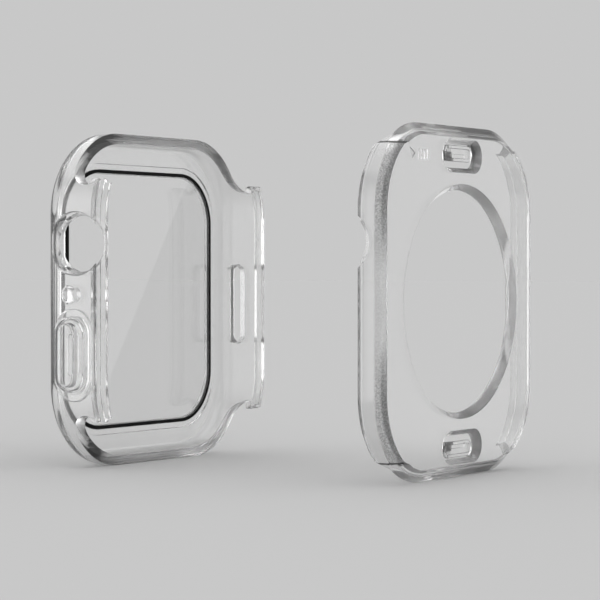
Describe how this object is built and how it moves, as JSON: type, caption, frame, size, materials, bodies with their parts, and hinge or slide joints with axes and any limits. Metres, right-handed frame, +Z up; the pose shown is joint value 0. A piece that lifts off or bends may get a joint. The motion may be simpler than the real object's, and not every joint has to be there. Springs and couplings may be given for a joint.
{
  "type": "smartwatch bumper case",
  "caption": "Clear snap-together bumper case for a rounded-rectangle smartwatch, shown open: front shell with built-in screen glass and side button, and rear cover with press tabs.",
  "frame": {"origin": "on the resting surface, under the middle of the bounding box of both halves", "axes": "+Z up along the height of the case, +Y through its thickness from the rear cover to the screen side, +X across the case away from the crown side"},
  "size_m": [0.0436, 0.0548, 0.0474],
  "materials": {
    "shell_plastic": "clear, polished",
    "cover_plastic": "clear, polished, with spark-textured side bevels",
    "button_plastic": "clear, polished",
    "screen_glass": "clear, polished",
    "black_edge": "black ink, satin",
    "bond_film": "dark adhesive film"
  },
  "bodies": {
    "shell": {"front_shell": "shell_plastic", "screen_glass": "screen_glass", "glass_edge_ring": "black_edge", "glass_bond": "bond_film", "side_button_retainer": "shell_plastic"},
    "button": {"side_button": "button_plastic"},
    "cover": {"rear_cover": "cover_plastic"},
    "upper_tab": {"upper_release_tab": "cover_plastic"},
    "lower_tab": {"lower_release_tab": "cover_plastic"}
  },
  "joints": [
    {"name": "cover_close", "type": "slide", "parent": "shell", "child": "cover", "axis": [0, 1, 0], "range_m": [0, 0.0426]},
    {"name": "button_press", "type": "slide", "parent": "shell", "child": "button", "axis": [1, 0, 0], "range_m": [0, 0.00028], "stiffness_N_per_m": 1000, "springref_m": -0.0002},
    {"name": "upper_tab_press", "type": "hinge", "parent": "cover", "child": "upper_tab", "pos_m": [0.00045, -0.0264, 0.04475], "axis": [1, 0, 0], "range_deg": [0, 14], "stiffness_Nm_per_rad": 0.002, "springref_deg": -2.86},
    {"name": "lower_tab_press", "type": "hinge", "parent": "cover", "child": "lower_tab", "pos_m": [0.00045, -0.0264, 0.00265], "axis": [-1, 0, 0], "range_deg": [0, 14], "stiffness_Nm_per_rad": 0.002, "springref_deg": -2.86}
  ]
}
